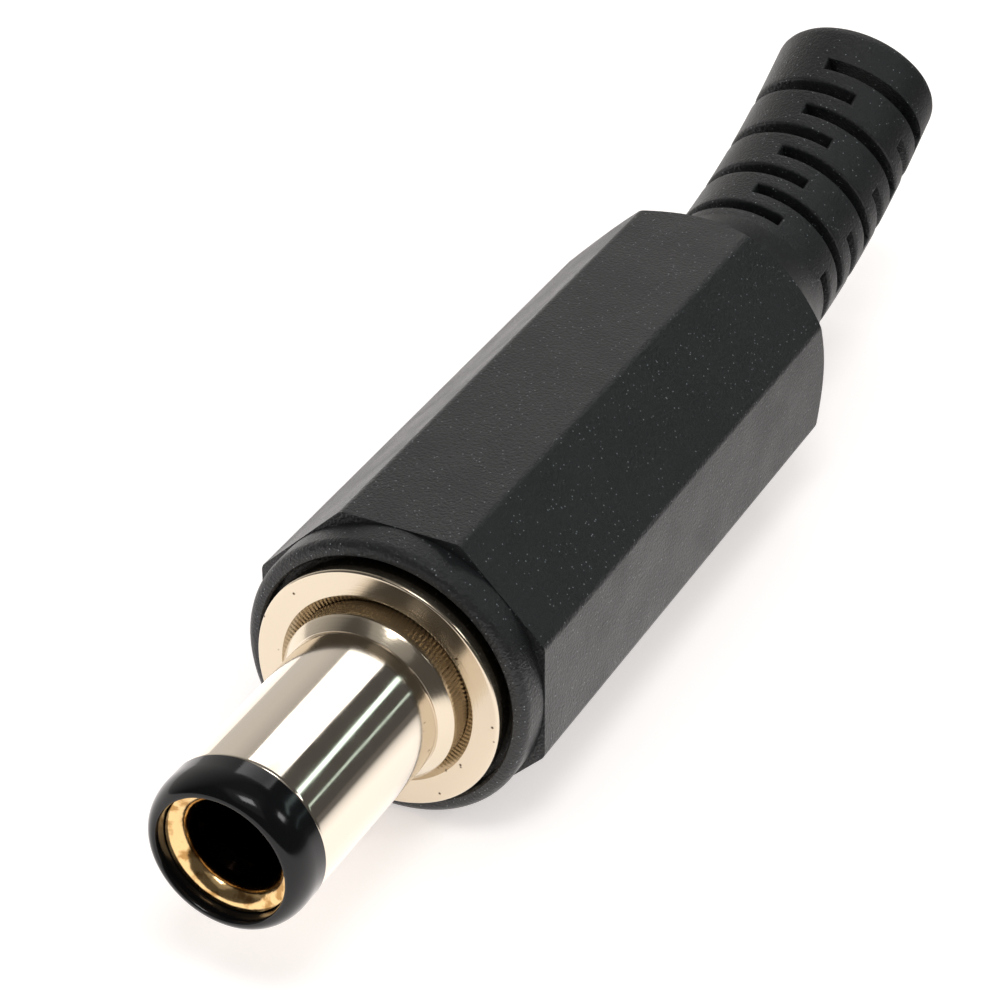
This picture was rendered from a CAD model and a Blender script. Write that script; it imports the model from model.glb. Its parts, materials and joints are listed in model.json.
"""Solder-type barrel plug with a screw-on octagonal handle, built as an add-on would build it."""

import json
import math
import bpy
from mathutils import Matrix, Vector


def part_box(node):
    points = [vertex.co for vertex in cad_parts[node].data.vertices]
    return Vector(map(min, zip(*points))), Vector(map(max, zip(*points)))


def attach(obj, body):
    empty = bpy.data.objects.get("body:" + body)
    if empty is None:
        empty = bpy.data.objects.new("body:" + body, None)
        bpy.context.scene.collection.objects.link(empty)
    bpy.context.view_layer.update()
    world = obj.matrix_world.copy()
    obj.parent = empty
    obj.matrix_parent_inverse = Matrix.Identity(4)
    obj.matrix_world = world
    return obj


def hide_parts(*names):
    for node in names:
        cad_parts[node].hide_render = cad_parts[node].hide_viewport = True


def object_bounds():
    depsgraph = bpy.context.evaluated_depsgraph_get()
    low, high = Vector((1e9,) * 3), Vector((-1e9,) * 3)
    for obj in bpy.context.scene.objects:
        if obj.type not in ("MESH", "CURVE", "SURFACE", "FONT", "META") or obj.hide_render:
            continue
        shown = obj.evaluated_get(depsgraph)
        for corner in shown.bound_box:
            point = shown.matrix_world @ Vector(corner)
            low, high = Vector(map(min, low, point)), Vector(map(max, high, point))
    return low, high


bl_info = {
    "name": "Barrel Plug",
    "version": (1, 0, 0),
    "blender": (4, 5, 0),
    "location": "View3D > Sidebar > Barrel Plug",
    "description": "Models a barrel plug with its screw-on handle, its finishes and a small studio",
    "category": "Add Mesh",
}

import bmesh
import bpy
from bpy.props import FloatProperty, FloatVectorProperty, IntProperty, PointerProperty
from mathutils import Matrix, Vector

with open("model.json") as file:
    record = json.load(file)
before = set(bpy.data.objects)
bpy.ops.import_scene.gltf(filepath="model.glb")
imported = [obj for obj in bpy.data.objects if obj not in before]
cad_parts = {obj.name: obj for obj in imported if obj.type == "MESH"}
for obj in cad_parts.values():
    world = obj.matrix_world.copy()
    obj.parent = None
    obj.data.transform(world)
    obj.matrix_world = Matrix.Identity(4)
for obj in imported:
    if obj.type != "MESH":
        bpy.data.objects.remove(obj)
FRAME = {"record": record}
CAD_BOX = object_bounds()
MM = 0.001
MOUNTS = {mount["name"]: mount for mount in FRAME["record"]["mounts"]}
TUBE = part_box("outer_contact")
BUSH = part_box("threaded_bush")
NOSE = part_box("nose_insulator")
PIN_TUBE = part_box("centre_contact")
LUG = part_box("ground_lug")
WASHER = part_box("rear_insulator")
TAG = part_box("centre_lug")
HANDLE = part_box("handle")
SEGMENTS = 180  # round the axis, 2 degrees each
TAU = 2 * math.pi
ARC_STEP = 15  # degrees between the points of a rounding
HOLD = 0.05  # mm from a corner to the loop that holds its shading
DOUBLES = 2e-7  # m, points nearer than this are one
FIT = 0.01  # mm between rings that are pressed together
COLLAR_BACK = -3.2  # mm, where the collar ends inside the bush
LIP_SEAT = 7.56  # mm, where the rolled mouth of the centre contact sits in the nose
CONTACT_OUTSIDE = 1.6  # mm, radius of the centre contact
RIVET = 1.15  # mm, radius of the centre contact's riveted end
SPIGOT = 2.48  # mm, radius of the barrel's riveted end
USUAL = {"From Min": 0.3, "From Max": 0.7}  # most of a noise lies between these


def linear(text):
    """An sRGB hex colour as linear red, green, blue and alpha."""
    channels = [int(text[i:i + 2], 16) / 255 for i in (1, 3, 5)]
    return tuple(c / 12.92 if c <= 0.04045 else ((c + 0.055) / 1.055) ** 2.4 for c in channels) + (1,)


def length(name, value_mm, description):
    """A length property, given in millimetres."""
    return FloatProperty(name=name, description=description, default=value_mm * MM, subtype="DISTANCE",
                         unit="LENGTH", precision=5)


def colour(name, text, description):
    """A colour property, given as an sRGB hex value."""
    return FloatVectorProperty(name=name, description=description, default=linear(text), size=4,
                               subtype="COLOR", min=0, max=1)


class PlugSizes(bpy.types.PropertyGroup):
    """Sizes that the frame doesn't give by itself."""
    collar_chamfer: length("Collar chamfer", 0.38, "Length of the cone at the root of the barrel")
    serration_depth: length("Serration depth", 0.03, "Depth of the grooves round the collar")
    serrations: IntProperty(name="Serrations", description="Grooves round the collar", default=120)
    nose_bulge: length("Nose bulge", 0.18, "How far the dome swells ahead of the plain solid")
    mouth_depth: length("Mouth depth", 0.35, "Depth of the countersink in the flange")
    flange_thickness: length("Flange thickness", 1.1, "Thickness of the flange")
    thread_pitch: length("Thread pitch", 0.75, "Pitch of the fine screw thread")
    thread_depth: length("Thread depth", 0.42, "Depth of the screw thread")
    corner_round: length("Corner round", 0.14, "Easing of the long edges of the octagon")
    boot_radius: length("Strain relief radius", 3.28, "Outside radius of the strain relief")
    bend_radius: length("Bend radius", 29.2, "Radius that the strain relief is bent to")
    slot_first: length("First slot", 4.2, "Where the first slot lies along the bend")
    slot_pitch: length("Slot pitch", 1.33, "Spacing of the slots")
    slot_width: length("Slot width", 0.55, "Width of a slot along the lead")
    slot_levels: IntProperty(name="Slot levels", description="Levels of paired slots", default=8)
    slot_angle: FloatProperty(name="Slot angle", description="Way that the slots face, from the top",
                              default=math.radians(50), subtype="ANGLE", unit="ROTATION")


class PlugFinish(bpy.types.PropertyGroup):
    """Colours of the finishes."""
    nickel: colour("Nickel", "#d9cfc0", "Bright nickel plate")
    faced_nickel: colour("Faced nickel", "#ccc0ac", "Nickel plate over a turned face")
    gold: colour("Gold", "#dfbc86", "Thin gold flash")
    tin: colour("Tin", "#b9b7b0", "Dull tin plate")
    plastic: colour("Handle plastic", "#151719", "Moulded black plastic with a spark-eroded texture")
    nose: colour("Nose plastic", "#0d0e10", "Polished black nylon")
    laminate: colour("Laminate", "#6e4224", "Paper laminate")


# Tools of the bench: each works on the active object.

def deselect():
    """Object mode, with nothing selected."""
    if bpy.context.object and bpy.context.object.mode != "OBJECT":
        bpy.ops.object.mode_set(mode="OBJECT")
    bpy.ops.object.select_all(action="DESELECT")


def pick(kind, test):
    """Selects just the verts, edges or faces of the edited mesh that pass a test."""
    mesh = bpy.context.object.data
    shape = bmesh.from_edit_mesh(mesh)
    bpy.context.tool_settings.mesh_select_mode = [kind == mode for mode in ("verts", "edges", "faces")]
    bpy.ops.mesh.select_all(action="DESELECT")
    found = 0
    for element in getattr(shape, kind):
        if test(element):
            element.select_set(True)
            found += 1
    shape.select_flush_mode()
    bmesh.update_edit_mesh(mesh)
    return found


def begin_point(point):
    """A new object that is one vertex, in edit mode."""
    deselect()
    bpy.ops.mesh.primitive_plane_add(size=MM, location=point)
    bpy.ops.object.transform_apply(location=True)
    bpy.ops.object.mode_set(mode="EDIT")
    bpy.context.tool_settings.mesh_select_mode = (True, False, False)
    bpy.ops.mesh.select_all(action="SELECT")
    bpy.ops.mesh.merge(type="CENTER")
    return bpy.context.object


def draw(points, closed=True):
    """Draws an outline through points, by extruding one vertex."""
    piece = begin_point(points[0])
    for here, there in zip(points, points[1:]):
        step = Vector(there) - Vector(here)
        bpy.ops.mesh.extrude_vertices_move(TRANSFORM_OT_translate={"value": step})
    if closed:
        pick("verts", lambda v: len(v.link_edges) == 1)
        bpy.ops.mesh.edge_face_add()
    bpy.ops.mesh.select_all(action="SELECT")
    return piece


def tidy_mesh():
    """Merges doubles, turns the faces outwards and goes back to object mode."""
    bpy.ops.mesh.select_all(action="SELECT")
    bpy.ops.mesh.remove_doubles(threshold=DOUBLES)
    bpy.ops.mesh.normals_make_consistent(inside=False)
    bpy.ops.object.mode_set(mode="OBJECT")


def soften(corners, closed=True):
    """Outline points from corners given as (x, radius, rounding) in mm, each rounding drawn as an arc."""
    flat, count = [], len(corners)
    for i, (x, r, rounding) in enumerate(corners):
        here = Vector((x, r))
        if not rounding or (not closed and i in (0, count - 1)):
            flat.append(here)
            continue
        back = (Vector(corners[i - 1][:2]) - here).normalized()
        ahead = (Vector(corners[(i + 1) % count][:2]) - here).normalized()
        half = back.angle(ahead) / 2
        centre = here + (back + ahead).normalized() * rounding / math.sin(half)
        start, end = (here + way * rounding / math.tan(half) - centre for way in (back, ahead))
        steps = max(3, round(math.degrees(math.pi - 2 * half) / ARC_STEP))
        turn = start.angle_signed(end)
        for k in range(steps + 1):
            flat.append(centre + Matrix.Rotation(-turn * k / steps, 2) @ start)
    held, ends = [], flat[1:] + flat[:1] if closed else flat[1:]
    for here, there in zip(flat, ends):
        held.append(here)
        if (there - here).length > 10 * HOLD:  # a long face is held near both its ends
            step = (there - here).normalized() * HOLD
            held += [here + step, there - step]
    held += [] if closed else flat[-1:]
    return [(p.x * MM, 0, p.y * MM) for p in held]


def lathe(corners, closed=True, steps=SEGMENTS):
    """Turns an outline of (x, radius, rounding) corners, in mm, round the plug's axis."""
    piece = draw(soften(corners, closed), closed)
    bpy.ops.mesh.spin(steps=steps, angle=TAU, center=(0, 0, 0), axis=(1, 0, 0))
    tidy_mesh()
    return piece


def plate(corners, width):
    """A bent strip from its side outline, (x, z, rounding) in mm, as wide as said across Y."""
    points = [(x, -width / 2 * MM, z) for x, _, z in soften(corners)]
    piece = draw(points)
    bpy.ops.mesh.edge_face_add()
    bpy.ops.mesh.extrude_region_move(TRANSFORM_OT_translate={"value": (0, width * MM, 0)})
    tidy_mesh()
    return piece


def combine(piece, tool, operation):
    """Cuts, joins or intersects the piece with a tool, and clears the tool away."""
    deselect()
    piece.select_set(True)
    bpy.context.view_layer.objects.active = piece
    modifier = piece.modifiers.new("Boolean", "BOOLEAN")
    modifier.operation, modifier.object, modifier.solver = operation, tool, "EXACT"
    bpy.ops.object.modifier_apply(modifier=modifier.name)
    bpy.data.objects.remove(tool)
    bpy.ops.object.mode_set(mode="EDIT")
    tidy_mesh()
    return piece


def finish_piece(piece, name, body, nodes, material, crease=35):
    """Names, shades and dresses a finished piece, and ties it to its CAD node and body."""
    deselect()
    piece.select_set(True)
    bpy.context.view_layer.objects.active = piece
    bpy.ops.object.shade_smooth_by_angle(angle=math.radians(crease))
    weigh = piece.modifiers.new("Weighted normals", "WEIGHTED_NORMAL")
    weigh.keep_sharp = True
    bpy.ops.object.modifier_apply(modifier=weigh.name)
    piece.name = piece.data.name = name
    piece.data.materials.clear()
    piece.data.materials.append(material)
    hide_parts(*nodes)
    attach(piece, body)
    return piece


# Finishes

def add(material, kind, inputs=None, **settings):
    """Adds a node with its settings; each input takes a value or another node's output."""
    node = material.node_tree.nodes.new("ShaderNode" + kind)
    for key, value in settings.items():
        setattr(node, key, value)
    for key, value in (inputs or {}).items():
        if isinstance(value, bpy.types.NodeSocket):
            material.node_tree.links.new(value, node.inputs[key])
        else:
            node.inputs[key].default_value = value
    return node


def blank(name):
    """A new material with an empty tree."""
    material = bpy.data.materials.new(name)
    material.use_nodes = True
    material.node_tree.nodes.clear()
    return material


def surface(material, shader):
    """Sends a shader to the material's output."""
    add(material, "OutputMaterial", {"Surface": shader})
    return material


def spark_eroded_plastic(finish):
    """Glass-filled nylon from a spark-eroded mould: black, dull, with a fine grain whose tips glitter."""
    m = blank("moulded_nylon_spark_eroded")
    place = add(m, "TexCoord").outputs["Object"]
    # The real grain is about 0.03 mm and its glints are finer: both are drawn coarser, so that they show.
    grain = add(m, "TexNoise", {"Vector": place, "Scale": 1 / (0.11 * MM), "Detail": 2.0,
                                "Roughness": 0.6})
    cloud = add(m, "TexNoise", {"Vector": place, "Scale": 1 / (1.6 * MM), "Detail": 3.0})
    cell = add(m, "TexVoronoi", {"Vector": place, "Scale": 1 / (0.085 * MM)})
    chance = add(m, "SeparateColor", {"Color": cell.outputs["Color"]})
    rare = add(m, "Math", {0: chance.outputs["Red"], 1: 0.94}, operation="GREATER_THAN")
    near = add(m, "MapRange", {"Value": cell.outputs["Distance"], "From Min": 0.36, "From Max": 0.12})
    glint = add(m, "Math", {0: rare.outputs[0], 1: near.outputs[0]}, operation="MULTIPLY")
    tint = add(m, "MapRange", {"Value": cloud.outputs["Fac"], **USUAL,
                               "To Min": 0.85, "To Max": 1.2})
    base = add(m, "VectorMath", {0: finish.plastic[:3], "Scale": tint.outputs[0]}, operation="SCALE")
    shade = add(m, "Mix", {"Factor": glint.outputs[0], 6: base.outputs[0], 7: linear("#8b9296")},
                data_type="RGBA")
    rough = add(m, "MapRange", {"Value": cloud.outputs["Fac"], **USUAL,
                                "To Min": 0.38, "To Max": 0.46})
    bump = add(m, "Bump", {"Height": grain.outputs["Fac"], "Strength": 0.9, "Distance": 0.05 * MM})
    skin = add(m, "BsdfPrincipled", {"Base Color": shade.outputs[2], "Roughness": rough.outputs[0],
                                     "IOR": 1.46, "Normal": bump.outputs[0]})
    return surface(m, skin.outputs[0])


def bright_nickel(finish):
    """Bright nickel over drawn brass: a mirror with the faintest draw lines along it."""
    m = blank("bright_nickel_plate")
    place = add(m, "TexCoord").outputs["Object"]
    # Draw lines are about 0.01 mm apart, and are drawn at 0.05 mm so that they show.
    along = add(m, "Mapping", {"Vector": place, "Scale": (0.04, 1, 1)})
    lines = add(m, "TexNoise", {"Vector": along.outputs[0], "Scale": 1 / (0.05 * MM), "Detail": 2.0})
    cloud = add(m, "TexNoise", {"Vector": place, "Scale": 1 / (1.1 * MM), "Detail": 3.0})
    rough = add(m, "MapRange", {"Value": cloud.outputs["Fac"], **USUAL,
                                "To Min": 0.07, "To Max": 0.12})
    bump = add(m, "Bump", {"Height": lines.outputs["Fac"], "Strength": 0.03, "Distance": 0.01 * MM})
    skin = add(m, "BsdfPrincipled", {"Base Color": finish.nickel, "Metallic": 1.0,
                                     "Roughness": rough.outputs[0], "Normal": bump.outputs[0]})
    return surface(m, skin.outputs[0])


def faced_nickel(finish):
    """Nickel over a turned face: warm, softer, with the tool's rings about the axis and a few pits."""
    m = blank("turned_nickel_plate")
    place = add(m, "TexCoord").outputs["Object"]
    # The tool's rings are about 0.02 mm apart, and are drawn at 0.07 mm so that they show.
    across = add(m, "VectorMath", {0: place, 1: (0, 1, 1)}, operation="MULTIPLY")
    radius = add(m, "VectorMath", {0: across.outputs[0]}, operation="LENGTH")
    rings = add(m, "TexNoise", {"W": radius.outputs["Value"], "Scale": 1 / (0.07 * MM), "Detail": 3.0},
                noise_dimensions="1D")
    pits = add(m, "TexVoronoi", {"Vector": place, "Scale": 1 / (0.5 * MM)})
    chance = add(m, "SeparateColor", {"Color": pits.outputs["Color"]})
    rare = add(m, "Math", {0: chance.outputs["Red"], 1: 0.9}, operation="GREATER_THAN")
    near = add(m, "MapRange", {"Value": pits.outputs["Distance"], "From Min": 0.12, "From Max": 0.06})
    pit = add(m, "Math", {0: rare.outputs[0], 1: near.outputs[0]}, operation="MULTIPLY")
    shade = add(m, "Mix", {"Factor": pit.outputs[0], 6: finish.faced_nickel, 7: linear("#4a3526")},
                data_type="RGBA")
    bump = add(m, "Bump", {"Height": rings.outputs["Fac"], "Strength": 0.12, "Distance": 0.01 * MM})
    skin = add(m, "BsdfPrincipled", {"Base Color": shade.outputs[2], "Metallic": 1.0, "Roughness": 0.17,
                                     "Normal": bump.outputs[0]})
    return surface(m, skin.outputs[0])


def gold_flash(finish):
    """Thin gold over brass: bright on the rolled mouth, browner where worn, dark down the bore."""
    m = blank("gold_flashed_brass")
    place = add(m, "TexCoord").outputs["Object"]
    wear = add(m, "TexNoise", {"Vector": place, "Scale": 1 / (0.5 * MM), "Detail": 4.0})
    patch = add(m, "MapRange", {"Value": wear.outputs["Fac"], "From Min": 0.5, "From Max": 0.62})
    shade = add(m, "Mix", {"Factor": patch.outputs[0], 6: finish.gold, 7: linear("#a9824e")},
                data_type="RGBA")
    axial = add(m, "SeparateXYZ", {"Vector": place})
    deep = add(m, "MapRange", {"Value": axial.outputs["X"], "From Min": (LIP_SEAT + 0.16) * MM,
                               "From Max": (LIP_SEAT - 0.06) * MM})
    tone = add(m, "Mix", {"Factor": deep.outputs[0], 6: shade.outputs[2], 7: linear("#070403")},
               data_type="RGBA")
    bump = add(m, "Bump", {"Height": wear.outputs["Fac"], "Strength": 0.3, "Distance": 0.04 * MM})
    skin = add(m, "BsdfPrincipled", {"Base Color": tone.outputs[2], "Metallic": 1.0, "Roughness": 0.15,
                                     "Normal": bump.outputs[0]})
    return surface(m, skin.outputs[0])


def polished_nylon(finish):
    """Black nylon from a polished mould: glossy, with the slight waviness of a small moulding."""
    m = blank("moulded_nylon_polished")
    place = add(m, "TexCoord").outputs["Object"]
    wave = add(m, "TexNoise", {"Vector": place, "Scale": 1 / (0.9 * MM), "Detail": 2.0})
    rough = add(m, "MapRange", {"Value": wave.outputs["Fac"], **USUAL,
                                "To Min": 0.1, "To Max": 0.16})
    bump = add(m, "Bump", {"Height": wave.outputs["Fac"], "Strength": 0.1, "Distance": 0.03 * MM})
    skin = add(m, "BsdfPrincipled", {"Base Color": finish.nose, "Roughness": rough.outputs[0],
                                     "IOR": 1.36, "Normal": bump.outputs[0]})
    return surface(m, skin.outputs[0])


def dull_tin(finish):
    """Tin over stamped brass: grey-white and satin, with fingerprints of handling."""
    m = blank("stamped_brass_tin_plate")
    place = add(m, "TexCoord").outputs["Object"]
    cloud = add(m, "TexNoise", {"Vector": place, "Scale": 1 / (1.3 * MM), "Detail": 4.0})
    fine = add(m, "TexNoise", {"Vector": place, "Scale": 1 / (0.12 * MM), "Detail": 2.0})
    tint = add(m, "MapRange", {"Value": cloud.outputs["Fac"], **USUAL,
                               "To Min": 0.8, "To Max": 1.1})
    shade = add(m, "VectorMath", {0: finish.tin[:3], "Scale": tint.outputs[0]}, operation="SCALE")
    rough = add(m, "MapRange", {"Value": cloud.outputs["Fac"], **USUAL,
                                "To Min": 0.24, "To Max": 0.42})
    bump = add(m, "Bump", {"Height": fine.outputs["Fac"], "Strength": 0.2, "Distance": 0.01 * MM})
    skin = add(m, "BsdfPrincipled", {"Base Color": shade.outputs[0], "Metallic": 1.0,
                                     "Roughness": rough.outputs[0], "Normal": bump.outputs[0]})
    return surface(m, skin.outputs[0])


def paper_laminate(finish):
    """Phenolic paper laminate: brown, with its layers showing as lines on the cut edge."""
    m = blank("phenolic_paper_laminate")
    place = add(m, "TexCoord").outputs["Object"]
    layers = add(m, "TexWave", {"Vector": place, "Scale": 1 / (0.6 * MM), "Distortion": 1.5,
                                "Detail": 2.0})
    shade = add(m, "Mix", {"Factor": layers.outputs["Fac"], 6: finish.laminate, 7: linear("#8b5a35")},
                data_type="RGBA")
    bump = add(m, "Bump", {"Height": layers.outputs["Fac"], "Strength": 0.2, "Distance": 0.01 * MM})
    skin = add(m, "BsdfPrincipled", {"Base Color": shade.outputs[2], "Roughness": 0.5,
                                     "Normal": bump.outputs[0]})
    return surface(m, skin.outputs[0])


# Pieces

def radius_at(point):
    """Distance from the plug's axis, in mm."""
    return math.hypot(point.y, point.z) / MM


class PLUG_OT_barrel(bpy.types.Operator):
    """Turns the plated tube: bare barrel, chamfered and serrated collar, riveted end"""
    bl_idname = "plug.barrel"
    bl_label = "Barrel"

    def execute(self, context):
        sizes, finish = context.scene.plug_sizes, context.scene.plug_finish
        barrel = MOUNTS["barrel"]["dims"]["r_mm"]
        tip, back = TUBE[1].x / MM, TUBE[0].x / MM
        collar, chamfer = TUBE[1].y / MM, sizes.collar_chamfer / MM
        bore, stake, step = 2.2, 2.85, BUSH[0].x / MM
        lug = LUG[1].x / MM - PLUG_OT_lugs.ground_thick
        piece = lathe([
            (tip, bore, 0.04), (tip, barrel, 0.1), (0.09, barrel, 0.02), (0.05, barrel - 0.05, 0.02),
            (0, barrel - 0.05, 0), (0, barrel + 0.03, 0.02), (-chamfer, collar - 0.05, 0.03),
            (-chamfer - 0.08, collar, 0.03), (-chamfer - 0.25, collar, 0), (-2.0, collar, 0),
            (COLLAR_BACK, collar, 0.05), (COLLAR_BACK, barrel, 0),
            (step, barrel, 0), (step, SPIGOT, 0), (lug, SPIGOT, 0), (lug, stake, 0.08),
            (back, SPIGOT, 0.08), (back, bore, 0)], steps=4 * sizes.serrations)
        bpy.ops.object.mode_set(mode="EDIT")
        groove = TAU / sizes.serrations

        def in_groove(vertex):
            turn = math.atan2(vertex.co.y, vertex.co.z) / groove
            behind_cone = vertex.co.x < -(chamfer + 0.3) * MM
            on_wall = abs(radius_at(vertex.co) - collar) < 0.03
            return behind_cone and on_wall and abs(turn - round(turn)) < 0.1

        if not pick("verts", in_groove):
            raise RuntimeError("the collar has no wall to serrate")
        depth = 1 - sizes.serration_depth / MM / collar
        bpy.ops.transform.resize(value=(1, depth, depth), center_override=(0, 0, 0))
        tidy_mesh()
        finish_piece(piece, "barrel_tube", "contacts", ["outer_contact"],
                     bright_nickel(finish))
        # The collar keeps the lathe's rings; the barrel is drawn smooth.
        piece.data.materials.append(faced_nickel(finish))
        for face in piece.data.polygons:
            face.material_index = int(face.center.x < -0.001 * MM and radius_at(face.center) > barrel)
        return {"FINISHED"}


class PLUG_OT_bush(bpy.types.Operator):
    """Turns the flanged bush and cuts its screw thread"""
    bl_idname = "plug.bush"
    bl_label = "Flanged bush"

    def execute(self, context):
        sizes, finish = context.scene.plug_sizes, context.scene.plug_finish
        face, back, flange = BUSH[1].x / MM, BUSH[0].x / MM, BUSH[1].y / MM
        shoulder = face - sizes.flange_thickness / MM
        crest = 4.0
        root = crest - sizes.thread_depth / MM
        collar, bore, mouth = TUBE[1].y / MM + FIT, MOUNTS["barrel"]["dims"]["r_mm"] + FIT, 3.47
        piece = lathe([
            (face, mouth, 0.03), (face, flange, 0.09), (shoulder, flange, 0.05),
            (shoulder, root - 0.08, 0.04), (shoulder - 0.5, root - 0.08, 0.05),
            (shoulder - 0.62, root, 0), (back, root, 0.04),
            (back, bore, 0), (COLLAR_BACK, bore, 0), (COLLAR_BACK, collar, 0),
            (face - sizes.mouth_depth / MM, collar, 0)])
        pitch = sizes.thread_pitch / MM
        first, last = back - pitch, shoulder - 0.4
        turns = int((last - first) / pitch)
        ridge = draw([(x * MM, 0, r * MM) for x, r in (
            (first, root - 0.1), (first + pitch * 0.44, crest), (first + pitch * 0.56, crest),
            (first + pitch, root - 0.1))])
        bpy.ops.object.mode_set(mode="OBJECT")
        screw = ridge.modifiers.new("Screw", "SCREW")
        screw.axis, screw.angle, screw.iterations = "X", TAU, turns
        screw.screw_offset = pitch * MM * 0.999  # a hair short, so that the turns overlap
        screw.steps = screw.render_steps = 96
        bpy.ops.object.modifier_apply(modifier=screw.name)
        bpy.ops.object.mode_set(mode="EDIT")
        pick("edges", lambda e: e.is_boundary)
        bpy.ops.mesh.edge_face_add()
        tidy_mesh()
        envelope = lathe([(shoulder - 0.55, root - 0.05, 0), (shoulder - 0.55, root + 0.02, 0),
                          (shoulder - 0.95, crest, 0), (back + 0.42, crest, 0), (back, root + 0.02, 0),
                          (back, root - 0.05, 0)])
        combine(ridge, envelope, "INTERSECT")
        combine(piece, ridge, "UNION")
        finish_piece(piece, "flanged_bush", "contacts", ["threaded_bush"],
                     faced_nickel(finish), crease=25)
        return {"FINISHED"}


class PLUG_OT_nose(bpy.types.Operator):
    """Turns the domed nose and the sleeve behind it"""
    bl_idname = "plug.nose"
    bl_label = "Nose insulator"

    def execute(self, context):
        sizes, finish = context.scene.plug_sizes, context.scene.plug_finish
        seat, back, tip = TUBE[1].x / MM, NOSE[0].x / MM, NOSE[1].x / MM + sizes.nose_bulge / MM
        outside, hole, sleeve, inside = NOSE[1].y / MM + 0.04, 2.22, 2.19, CONTACT_OUTSIDE + FIT
        crown = 2.3  # radius of the foremost ring
        dome, lip = 0.95, 0.2  # how far the outside and the inside curve back from that ring
        outer = [(tip + dome * (math.sin(a) - 1), crown + (outside - crown) * math.cos(a), 0)
                 for a in (math.radians(7.5 * i) for i in range(13))]
        inner = [(tip + lip * (math.cos(a) - 1), crown - (crown - hole) * math.sin(a), 0)
                 for a in (math.radians(15 * i) for i in range(1, 7))]
        piece = lathe([(back, inside, 0), (back, sleeve, 0), (seat, sleeve, 0), (seat, outside - 0.05, 0),
                       (seat + 0.05, outside, 0), *outer, *inner, (LIP_SEAT, hole, 0),
                       (LIP_SEAT, inside, 0)])
        finish_piece(piece, "nose", "contacts", ["nose_insulator"],
                     polished_nylon(finish))
        return {"FINISHED"}


class PLUG_OT_pin_tube(bpy.types.Operator):
    """Draws the centre contact with its rolled mouth and rivets it at the back"""
    bl_idname = "plug.pin_tube"
    bl_label = "Centre contact"

    def execute(self, context):
        finish = context.scene.plug_finish
        back = PIN_TUBE[0].x / MM
        seat, roll, rim = LIP_SEAT + FIT, 0.6, 2.2
        throat = rim - 0.02 - roll  # radius where the mouth begins to roll
        bore = MOUNTS["centre_bore"]["dims"]["r_mm"]
        floor, tag = WASHER[1].x / MM, WASHER[0].x / MM - PLUG_OT_lugs.tag_thick
        lip = [(seat + roll * math.sin(a), throat + roll * (1 - math.cos(a)), 0)
               for a in (math.radians(6 * i) for i in range(16))]
        piece = lathe([
            (-2, 0, 0), (-1.5, bore, 0), (6.9, bore, 0.3), (seat - 0.2, throat, 0.2), *lip,
            (seat + roll - 0.02, rim, 0), (seat, rim, 0), (seat, CONTACT_OUTSIDE, 0.03),
            (floor, CONTACT_OUTSIDE, 0), (floor, RIVET, 0), (tag, RIVET, 0), (tag, 1.7, 0.1),
            (back, RIVET, 0.1), (back, 0, 0)], closed=False)
        finish_piece(piece, "centre_contact_tube", "contacts", ["centre_contact"],
                     gold_flash(finish))
        return {"FINISHED"}


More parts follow.
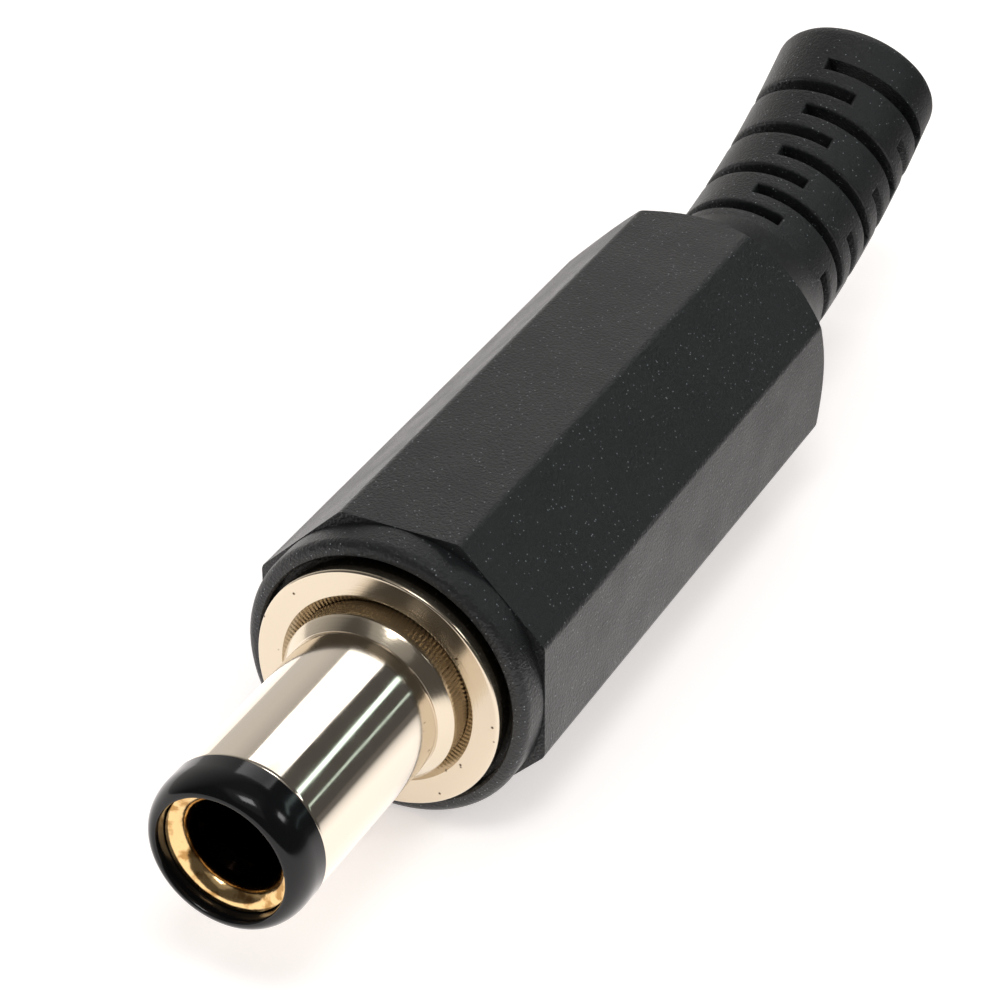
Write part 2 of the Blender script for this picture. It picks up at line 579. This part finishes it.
class PLUG_OT_lugs(bpy.types.Operator):
    """Stamps the ground lug with its crimp wings, the centre tag, and the washer between them"""
    bl_idname = "plug.lugs"
    bl_label = "Solder lugs"
    ground_thick, tag_thick = 0.4, 0.3  # mm, of the two strips that they are stamped from

    def ground(self, finish):
        """The ring, its arm and the two wings that clamp the lead."""
        face, end, thick = LUG[1].x / MM, LUG[0].x / MM, self.ground_thick
        hole, rim, width = SPIGOT + FIT, 3.3, 2.6
        arm, join = -3.4, -2.6  # heights of the arm and of where it meets the ring
        ring = lathe([(face, hole, 0), (face, rim, 0.05), (face - thick, rim, 0.05),
                      (face - thick, hole, 0)])
        strip = plate([(face, join, 0), (face, arm, 0.55), (end, arm, 0.05), (end, arm + thick, 0.05),
                       (face - thick, arm + thick, 0.15), (face - thick, join, 0)], width)
        combine(ring, strip, "UNION")
        inner, wide, span = 2.2, 2.4, math.radians(244)
        middle, start = arm + thick + inner, math.pi - span / 2
        section = [(end, inner), (end, inner + thick), (end + wide, inner + thick), (end + wide, inner)]
        points = [(x * MM, r * math.sin(start) * MM, (middle + r * math.cos(start)) * MM)
                  for x, r in section]
        wings = draw(points)
        bpy.ops.mesh.spin(steps=48, angle=-span, center=(0, 0, middle * MM), axis=(1, 0, 0))
        pick("edges", lambda e: e.is_boundary or e.is_wire)
        bpy.ops.mesh.fill_holes(sides=4)
        tidy_mesh()
        combine(ring, wings, "UNION")
        deselect()
        bpy.ops.mesh.primitive_cylinder_add(vertices=64, radius=0.65 * MM, depth=2 * MM,
                                            location=(-10.6 * MM, 0, arm * MM))
        combine(ring, bpy.context.object, "DIFFERENCE")
        return finish_piece(ring, "ground_lug_stamping", "contacts", ["ground_lug"],
                            dull_tin(finish))

    def tag(self, finish):
        """The ring and the rounded tongue that the centre core is soldered to."""
        face, end, thick = TAG[1].x / MM, TAG[0].x / MM, self.tag_thick
        width, hole, rim, top = 2.0, RIVET + FIT, 2, 2.3
        ring = lathe([(face, hole, 0), (face, rim, 0.04), (face - thick, rim, 0.04),
                      (face - thick, hole, 0)])
        strip = plate([(face, 1.25, 0), (face, top, 0.45), (end, top, 0), (end, top - thick, 0),
                       (face - thick, top - thick, 0.15), (face - thick, 1.25, 0)], width)
        bpy.ops.object.mode_set(mode="EDIT")
        pick("edges", lambda e: all(abs(v.co.x - end * MM) < 1e-6 for v in e.verts)
             and abs(e.verts[0].co.z - e.verts[1].co.z) > 0.1 * MM)
        bpy.ops.mesh.bevel(offset=0.98 * MM, segments=10, affect="EDGES")
        tidy_mesh()
        combine(ring, strip, "UNION")
        deselect()
        bpy.ops.mesh.primitive_cylinder_add(vertices=48, radius=0.55 * MM, depth=2 * MM,
                                            location=((end + width / 2) * MM, 0, top * MM))
        combine(ring, bpy.context.object, "DIFFERENCE")
        return finish_piece(ring, "centre_tag_stamping", "contacts", ["centre_lug"],
                            dull_tin(finish))

    def execute(self, context):
        finish = context.scene.plug_finish
        self.ground(finish)
        self.tag(finish)
        face, back, rim = WASHER[1].x / MM, WASHER[0].x / MM, WASHER[1].y / MM
        hole = RIVET + FIT
        washer = lathe([(face, hole, 0), (face, rim, 0.05), (back, rim, 0.05), (back, hole, 0)])
        finish_piece(washer, "laminate_washer", "contacts", ["rear_insulator"],
                     paper_laminate(finish))
        return {"FINISHED"}


class PLUG_OT_handle(bpy.types.Operator):
    """Moulds the handle: round rim, octagonal grip, hollow shoulder and slotted, bent strain relief"""
    bl_idname = "plug.handle"
    bl_label = "Handle"

    def grip(self, sizes):
        """The octagon with eased corners, its shoulder turned hollow, and room for the core inside."""
        flats, front, back = self.flats, self.grip_front, self.grip_back
        corner = flats / math.cos(math.pi / 8)
        reach = back - 4.8
        deselect()
        bpy.ops.mesh.primitive_cylinder_add(
            vertices=8, radius=corner * MM, depth=(front - reach + 1) * MM,
            location=((front + reach - 1) / 2 * MM, 0, 0), rotation=(0, math.pi / 2, 0))
        bpy.ops.object.transform_apply(location=True, rotation=True)
        piece = bpy.context.object
        bpy.ops.object.mode_set(mode="EDIT")
        bpy.ops.mesh.select_all(action="SELECT")
        bpy.ops.transform.rotate(value=math.pi / 8, orient_axis="X", center_override=(0, 0, 0))
        pick("edges", lambda e: abs(e.verts[0].co.x - e.verts[1].co.x) > MM)
        bpy.ops.mesh.bevel(offset=sizes.corner_round, segments=4, affect="EDGES")
        tidy_mesh()
        start, end = Vector((back, corner + 0.02)), Vector((reach, self.boot + 0.02))
        chord, sag = start - end, 0.4  # the shoulder is hollow by the sag, in mm
        bow = (chord.length ** 2 / 4 + sag ** 2) / (2 * sag)
        out = Vector((-chord.y, chord.x)).normalized()
        centre = (start + end) / 2 + (out if out.y > 0 else -out) * (bow - sag)
        first, last = (start - centre), (end - centre)
        turn = first.angle_signed(last)
        cove = [centre + Matrix.Rotation(-turn * i / 24, 2) @ first for i in range(25)]
        form = lathe([(front + 1, 4.6, 0), (front + 1, 6, 0), (back, 6, 0),
                      *((p.x, p.y, 0) for p in cove),
                      (reach, 2.7, 0), (back - 1.4, 2.7, 0), (back + 1.1, 4.6, 0)])
        return combine(piece, form, "INTERSECT")

    def spin_section(self, arc, steps):
        """Carries the selected ring along the bend by a length of arc, in mm."""
        bpy.ops.mesh.spin(steps=steps, angle=self.spin_way * arc / self.bend, axis=(0, 1, 0),
                          center=(self.bend_start * MM, 0, self.bend * MM))

    def push(self, move, scale=1.0, centre=None):
        """Extrudes the selected ring, moves it by mm and scales it about a point in mm."""
        bpy.ops.mesh.extrude_region_move(TRANSFORM_OT_translate={"value": Vector(move) * MM})
        if scale != 1:
            bpy.ops.transform.resize(value=(scale, scale, scale), center_override=Vector(centre) * MM)

    def ring_profile(self, stations, radius, origin, way):
        """Extrudes the selected ring through (distance along way, radius) stations from an origin."""
        here = 0.0
        for distance, next_radius in stations:
            centre = Vector(origin) + Vector(way) * distance
            self.push(Vector(way) * (distance - here), next_radius / radius, centre)
            here, radius = distance, next_radius

    def core(self, sizes):
        """One shell from the bent strain relief through its bore to the thread and the rim."""
        boot, lead = self.boot, self.lead
        pitch, width = sizes.slot_pitch / MM, sizes.slot_width / MM
        deselect()
        bpy.ops.mesh.primitive_circle_add(
            vertices=SEGMENTS, radius=boot * MM,
            location=(self.bend_start * MM, 0, 0), rotation=(0, math.pi / 2, 0))
        bpy.ops.object.transform_apply(location=True, rotation=True)
        piece = bpy.context.object
        bpy.ops.object.mode_set(mode="EDIT")
        bpy.ops.mesh.select_all(action="SELECT")
        first = sizes.slot_first / MM - width / 2
        sections = [(first, 8)]
        for level in range(sizes.slot_levels):
            sections.append((width, 2))
            sections.append((pitch - width, 3) if level < sizes.slot_levels - 1 else (0.1, 1))
        self.arc = sum(arc for arc, _ in sections)
        for arc, steps in sections:
            self.spin_section(arc, steps)
        turn = self.arc / self.bend
        tail = Vector((-math.cos(turn), 0, math.sin(turn)))
        out = Vector((-math.sin(turn), 0, -math.cos(turn)))
        end = Vector((self.bend_start, 0, self.bend)) + self.bend * out
        straight, nose = 1.7, 0.55
        rounded = [(straight - nose + nose * math.sin(a), boot - nose + nose * math.cos(a))
                   for a in (math.radians(15 * i) for i in range(7))]
        mouth = [(straight, lead + 0.3), (straight - 0.04, lead + 0.2), (straight - 0.16, lead + 0.08),
                 (straight - 0.3, lead), (0.0, lead)]
        stations = [(0.4, boot), *rounded, *mouth]
        self.ring_profile(stations, boot, end, tail)
        for arc, steps in reversed(sections):
            self.spin_section(-arc, steps)
        start = self.bend_start
        cavity, thread, round_off, ease = 3.95, 4.05, 0.35, 0.08
        inside = [(self.cavity_end - 3, lead), (self.cavity_end, cavity), (self.seat - 5.2, cavity),
                  (self.seat - 5.2, thread), (self.seat - 0.05, thread), (self.seat, thread + 0.05),
                  (self.seat, self.rim_hole), (self.rim_front - ease, self.rim_hole),
                  (self.rim_front, self.rim_hole + ease), (self.rim_front, self.rim - round_off)]
        inside += [(self.rim_front - round_off * (1 - math.cos(a)),
                    self.rim - round_off * (1 - math.sin(a)))
                   for a in (math.radians(15 * i) for i in range(1, 7))]
        inside += [(self.grip_front - 0.5, self.rim), (self.grip_front - 0.5, 4.8), (self.grip_back + 1, 4.8),
                   (start + 0.3, boot), (start, boot)]
        self.ring_profile([(x - start, r) for x, r in inside], lead, (start, 0, 0), (1, 0, 0))
        tidy_mesh()
        return piece

    def along(self, point):
        """Arc length, angle from the top and radius of a point on the bent part, in mm and degrees."""
        x, z = point.x / MM - self.bend_start, point.z / MM - self.bend
        turn = math.atan2(-x, -z)
        up = self.bend - math.hypot(x, z)
        return turn * self.bend, math.degrees(math.atan2(point.y / MM, up)), math.hypot(point.y / MM, up)

    def cut_slots(self, sizes):
        """Opens each slot through the wall, bridges its sides and eases its edges."""
        bpy.ops.object.mode_set(mode="EDIT")
        width = sizes.slot_width / MM
        for level in range(sizes.slot_levels):
            mid = (sizes.slot_first + sizes.slot_pitch * level) / MM
            span = 104 if level % 2 else 132
            for side in (0, 180):
                facing = math.degrees(sizes.slot_angle) + side + (0 if level % 2 else 90)

                def in_window(face):
                    arc, angle, radius = self.along(face.calc_center_median())
                    off = (angle - facing + 180) % 360 - 180
                    on_bend = face.calc_center_median().x < (self.bend_start - 2) * MM
                    in_wall = radius > self.lead - 0.1
                    return on_bend and in_wall and abs(arc - mid) < width / 2 and abs(off) < span / 2

                if not pick("faces", in_window):
                    raise RuntimeError("a slot found no wall to open")
                bpy.ops.mesh.bridge_edge_loops()

        def on_lip(edge):
            if edge.calc_face_angle(0) < math.radians(60):
                return False
            arc, angle, radius = self.along((edge.verts[0].co + edge.verts[1].co) / 2)
            return 2 < arc < self.arc - 0.12 and radius > self.boot - 0.08

        pick("edges", on_lip)
        bpy.ops.mesh.bevel(offset=0.1 * MM, segments=3, affect="EDGES", clamp_overlap=True)
        tidy_mesh()

    def execute(self, context):
        sizes, finish = context.scene.plug_sizes, context.scene.plug_finish
        self.boot, self.bend = sizes.boot_radius / MM, sizes.bend_radius / MM
        self.lead = MOUNTS["lead_entry"]["dims"]["r_mm"]
        self.flats = HANDLE[1].y / MM
        self.rim_front = HANDLE[1].x / MM
        self.rim, self.rim_hole = self.flats - 0.03, BUSH[1].y / MM + 0.18
        self.grip_front = self.rim_front - 1.22
        self.grip_back = self.grip_front - 22.3
        self.bend_start = self.grip_back - 1.1
        self.cavity_end = self.grip_back + 2.3
        self.seat = BUSH[1].x / MM - 1.12
        self.spin_way = -1
        grip = self.grip(sizes)
        core = self.core(sizes)
        self.cut_slots(sizes)
        piece = combine(grip, core, "UNION")
        finish_piece(piece, "screw_on_handle", "handle", ["handle"],
                     spark_eroded_plastic(finish), crease=30)
        return {"FINISHED"}


# Studio

LAMPS = (  # name, azimuth and elevation in degrees, distance and size in m, brightness, colour
    ("overhead_softbox", 184.5, 44, 0.5, (0.32, 0.105), 2.6, "#ffffff"),
    ("upper_strip", 144, 30, 0.5, (0.3, 0.035), 2.5, "#e4fff8"),
    ("lower_strip", 136.5, 14, 0.5, (0.3, 0.016), 1.2, "#e4fff8"),
    ("nose_lamp", 31, 70, 0.5, (0.17, 0.11), 8.0, "#ffffff"),
    ("side_lamp", 107, 37, 0.5, (0.09, 0.09), 8.0, "#ffffff"),
    ("fill", 20, 65, 0.6, (0.5, 0.5), 0.25, "#ffffff"),
)
AIM = Vector((-10, 0, 0)) * MM  # the point that the lamps look at
CAMERA_PLACE = Vector((75.15, 44.02, 64.93)) * MM
CAMERA_FORWARD = Vector((-0.74178, -0.38500, -0.54913))
CAMERA_RIGHT = Vector((-0.45761, 0.88914, -0.00524))
LENS, SENSOR = 123.1, 36  # mm
PAPER_WAY, PAPER_NEAR, PAPER_FAR = (-0.69, 0.72, 0), 14 * MM, 60 * MM  # where the metal sees it end


class PLUG_OT_studio(bpy.types.Operator):
    """Lays the floor, hangs the lamps and sets up the camera"""
    bl_idname = "plug.studio"
    bl_label = "Studio"

    def lamp(self, name, azimuth, elevation, distance, size, brightness, text):
        """An area lamp that looks at the plug from a direction in degrees; a brightness of 1 is white."""
        a, e = math.radians(azimuth), math.radians(elevation)
        way = Vector((math.cos(a) * math.cos(e), math.sin(a) * math.cos(e), math.sin(e)))
        data = bpy.data.lights.new(name, "AREA")
        data.shape, data.size, data.size_y = "RECTANGLE", size[0], size[1]
        data.energy = brightness * math.pi * size[0] * size[1]
        data.color = linear(text)[:3]
        lamp = bpy.data.objects.new(name, data)
        bpy.context.scene.collection.objects.link(lamp)
        lamp.location = way * distance + AIM
        lamp.rotation_euler = way.to_track_quat("Z", "Y").to_euler()

    def floor(self):
        """White paper that shows as white to the eye and in the metal, and keeps the plug's shadow."""
        deselect()
        bpy.ops.mesh.primitive_plane_add(size=4, location=(0, 0, CAD_BOX[0][2]))
        floor = bpy.context.object
        floor.name = "paper_floor"
        m = blank("white_paper")
        path = add(m, "LightPath")
        seen = add(m, "Math", {0: path.outputs["Is Camera Ray"], 1: path.outputs["Is Glossy Ray"]},
                   operation="MAXIMUM")
        also = add(m, "Math", {0: seen.outputs[0], 1: path.outputs["Is Transmission Ray"]},
                   operation="MAXIMUM")
        paper = add(m, "BsdfDiffuse", {"Color": linear("#e6e6e6")})
        level = add(m, "MapRange", {"Value": path.outputs["Is Glossy Ray"],
                                    "To Min": 0.52, "To Max": 0.95})
        glow = add(m, "Emission", {"Color": linear("#fcf6f4"), "Strength": level.outputs[0]})
        both = add(m, "AddShader", {0: paper.outputs[0], 1: glow.outputs[0]})
        mixed = add(m, "MixShader", {0: also.outputs[0], 1: paper.outputs[0], 2: both.outputs[0]})
        # The metal sees the paper end behind the plug, where the dark room begins.
        place = add(m, "TexCoord").outputs["Object"]
        away = add(m, "VectorMath", {0: place, 1: PAPER_WAY}, operation="DOT_PRODUCT")
        end = add(m, "MapRange", {"Value": away.outputs["Value"], "From Min": PAPER_NEAR,
                                  "From Max": PAPER_FAR, "To Max": 0.9})
        gone = add(m, "Math", {0: end.outputs[0], 1: path.outputs["Is Glossy Ray"]},
                   operation="MULTIPLY")
        dark = add(m, "Emission", {"Strength": 0.0})
        ended = add(m, "MixShader", {0: gone.outputs[0], 1: mixed.outputs[0], 2: dark.outputs[0]})
        surface(m, ended.outputs[0])
        floor.data.materials.append(m)

    def room(self):
        """White to the eye, dim with one bright wall to the metal, and even light for the rest."""
        world = bpy.data.worlds.new("room")
        bpy.context.scene.world = world
        world.use_nodes = True
        world.node_tree.nodes.clear()
        place = add(world, "TexCoord").outputs["Generated"]
        side = add(world, "VectorMath", {0: place, 1: (-0.62, -0.78, 0.0)}, operation="DOT_PRODUCT")
        wall = add(world, "MapRange", {"Value": side.outputs["Value"], "From Min": 0.3, "From Max": 0.9,
                                       "To Min": 0.1, "To Max": 0.8})
        height = add(world, "SeparateXYZ", {"Vector": place})
        ceiling = add(world, "MapRange", {"Value": height.outputs["Z"], "From Min": 0.76,
                                          "From Max": 0.9, "To Min": 0.0, "To Max": 0.2})
        seen = add(world, "Math", {0: wall.outputs[0], 1: ceiling.outputs[0]}, operation="MAXIMUM")
        path = add(world, "LightPath")
        level = add(world, "Mix", {"Factor": path.outputs["Is Glossy Ray"], 2: 0.58,
                                   3: seen.outputs[0]})
        dim = add(world, "Background", {"Color": linear("#fbf7f3"), "Strength": level.outputs[0]})
        white = add(world, "Background", {"Color": (1, 1, 1, 1), "Strength": 1.0})
        both = add(world, "MixShader", {0: path.outputs["Is Camera Ray"], 1: dim.outputs[0],
                                        2: white.outputs[0]})
        add(world, "OutputWorld", {"Surface": both.outputs[0]})

    def execute(self, context):
        self.floor()
        self.room()
        for lamp in LAMPS:
            self.lamp(*lamp)
        data = bpy.data.cameras.new("camera")
        data.lens, data.sensor_width = LENS, SENSOR
        data.clip_start, data.clip_end = 0.001, 10
        camera = bpy.data.objects.new("camera", data)
        context.scene.collection.objects.link(camera)
        up = CAMERA_RIGHT.cross(CAMERA_FORWARD)
        turn = Matrix((CAMERA_RIGHT, up, -CAMERA_FORWARD)).transposed().to_4x4()
        camera.matrix_world = Matrix.Translation(CAMERA_PLACE) @ turn
        context.scene.camera = camera
        context.scene.view_settings.view_transform = "Standard"
        return {"FINISHED"}


class PLUG_PT_bench(bpy.types.Panel):
    """Lists the pieces and the sizes that they are made from"""
    bl_idname = "PLUG_PT_bench"
    bl_label = "Barrel Plug"
    bl_space_type = "VIEW_3D"
    bl_region_type = "UI"
    bl_category = "Barrel Plug"

    def draw(self, context):
        for step in STEPS:
            self.layout.operator(step.bl_idname)
        for group in (context.scene.plug_sizes, context.scene.plug_finish):
            box = self.layout.box()
            for name in group.bl_rna.properties.keys():
                if name not in ("rna_type", "name"):
                    box.prop(group, name)


STEPS = (PLUG_OT_barrel, PLUG_OT_bush, PLUG_OT_nose, PLUG_OT_pin_tube, PLUG_OT_lugs, PLUG_OT_handle,
         PLUG_OT_studio)
CLASSES = (PlugSizes, PlugFinish, *STEPS, PLUG_PT_bench)


def register():
    for cls in CLASSES:
        bpy.utils.register_class(cls)
    bpy.types.Scene.plug_sizes = PointerProperty(type=PlugSizes)
    bpy.types.Scene.plug_finish = PointerProperty(type=PlugFinish)


def unregister():
    del bpy.types.Scene.plug_sizes
    del bpy.types.Scene.plug_finish
    for cls in reversed(CLASSES):
        bpy.utils.unregister_class(cls)


def main():
    """Registers the add-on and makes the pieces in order."""
    register()
    for step in STEPS:
        group, name = step.bl_idname.split(".")
        getattr(getattr(bpy.ops, group), name)()


if __name__ == "__main__":
    main()
